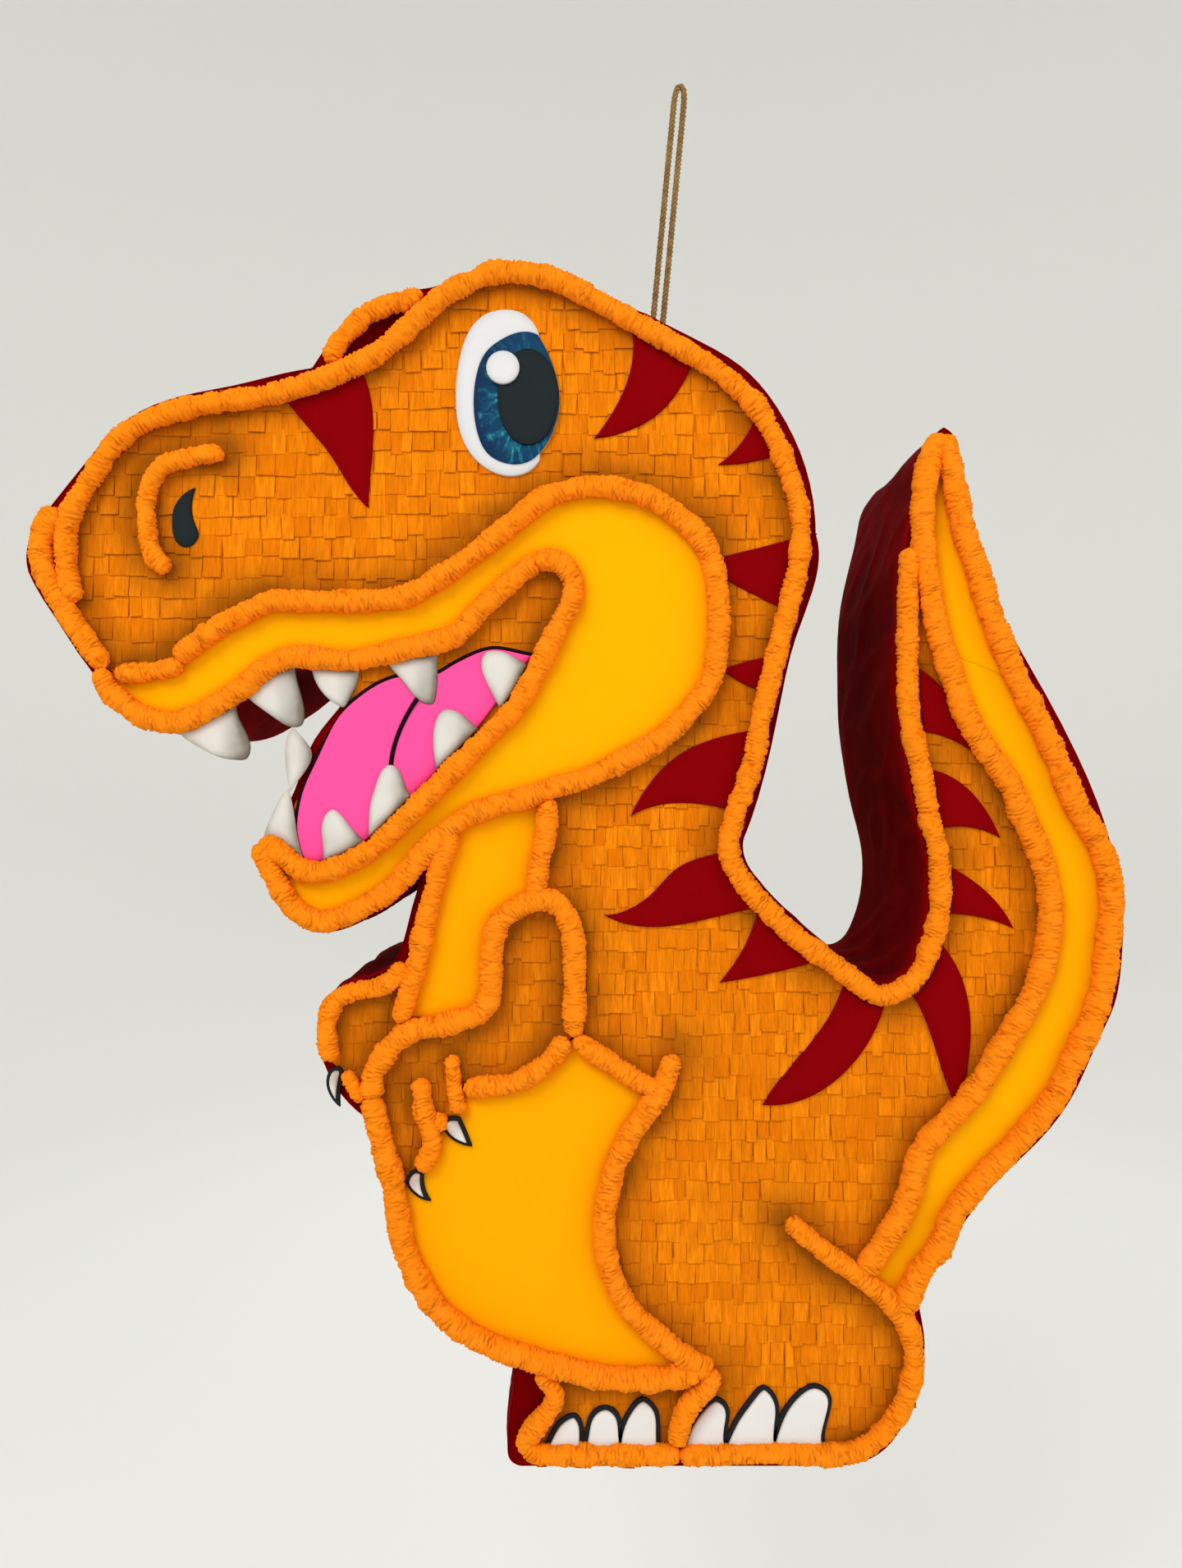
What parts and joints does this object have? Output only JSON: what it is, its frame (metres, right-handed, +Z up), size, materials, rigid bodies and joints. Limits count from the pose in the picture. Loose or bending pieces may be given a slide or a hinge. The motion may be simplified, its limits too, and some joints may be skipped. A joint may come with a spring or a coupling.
{
  "type": "hanging pinata",
  "caption": "Hanging cartoon dinosaur pinata: flat card box in crepe fringe and foam, on a doubled jute rope, with a fill flap in its back.",
  "frame": {"origin": "the nail's centre in the loop at the top of the doubled rope", "axes": "+Z up, +X to the viewer's right when facing the decorated front, +Y to the back, so the front faces -Y"},
  "size_m": [0.6684, 0.185, 0.8944],
  "materials": {
    "kraft_card": "matte",
    "red_crepe": "matte",
    "orange_fringe": "matte",
    "orange_roll": "matte",
    "yellow_foam": "matte",
    "red_foam": "matte",
    "black_foam": "matte",
    "white_foam": "matte",
    "blue_foam": "satin",
    "pink_foam": "matte",
    "dowel_wood": "matte",
    "jute": "matte",
    "paper_tape": "satin"
  },
  "bodies": {
    "rope": {"hanging_rope": "jute", "rope_hitch": "jute"},
    "pinata": {"arm_rolls": "orange_roll", "arm_wall": "kraft_card", "back_cover": "red_crepe", "back_panel": "kraft_card", "back_roll": "orange_roll", "belly_panel": "yellow_foam", "belly_rolls": "orange_roll", "belly_wall": "kraft_card", "body_fringe": "orange_fringe", "cheek_roll": "orange_roll", "chest_panel": "yellow_foam", "claw_outlines": "black_foam", "claws": "white_foam", "cross_braces": "kraft_card", "crown_roll": "orange_roll", "crown_wall": "kraft_card", "dowel_patches": "kraft_card", "eye_highlight": "white_foam", "eye_white": "white_foam", "far_arm_fringe": "orange_fringe", "foot_fringe": "orange_fringe", "foot_rolls": "orange_roll", "front_cover": "red_crepe", "front_panel": "kraft_card", "gap_wall": "kraft_card", "hanging_dowel": "dowel_wood", "heel_wall": "kraft_card", "hinge_tape": "paper_tape", "iris": "blue_foam", "jaw_panel": "yellow_foam", "jaw_wall": "kraft_card", "lip_roll": "orange_roll", "lip_wall": "kraft_card", "lower_teeth": "white_foam", "mouth_fringe": "orange_fringe", "mouth_roll": "orange_roll", "nape_wall": "kraft_card", "near_arm_fringe": "orange_fringe", "neck_rolls": "orange_roll", "nostril": "black_foam", "pupil": "black_foam", "side_cover": "red_crepe", "snout_rolls": "orange_roll", "snout_wall": "kraft_card", "sole_wall": "kraft_card", "stripes": "red_foam", "tail_doublers": "kraft_card", "tail_inner_wall": "kraft_card", "tail_outer_wall": "kraft_card", "tail_panel": "yellow_foam", "tail_rolls": "orange_roll", "tongue": "pink_foam", "tongue_outline": "black_foam", "upper_teeth": "white_foam"},
    "flap": {"fill_flap": "kraft_card", "flap_cover": "red_crepe", "flap_tape": "paper_tape", "flap_tab": "paper_tape"}
  },
  "joints": [
    {"name": "pinata_swing", "type": "hinge", "parent": "rope", "child": "pinata", "pos_m": [-0.02, 0, -0.208], "axis": [0, 1, 0], "range_deg": [-25, 25]},
    {"name": "fill_flap_hinge", "type": "hinge", "parent": "pinata", "child": "flap", "pos_m": [0.01, 0.085, -0.57], "axis": [1, 0, 0], "range_deg": [0, 110]}
  ]
}
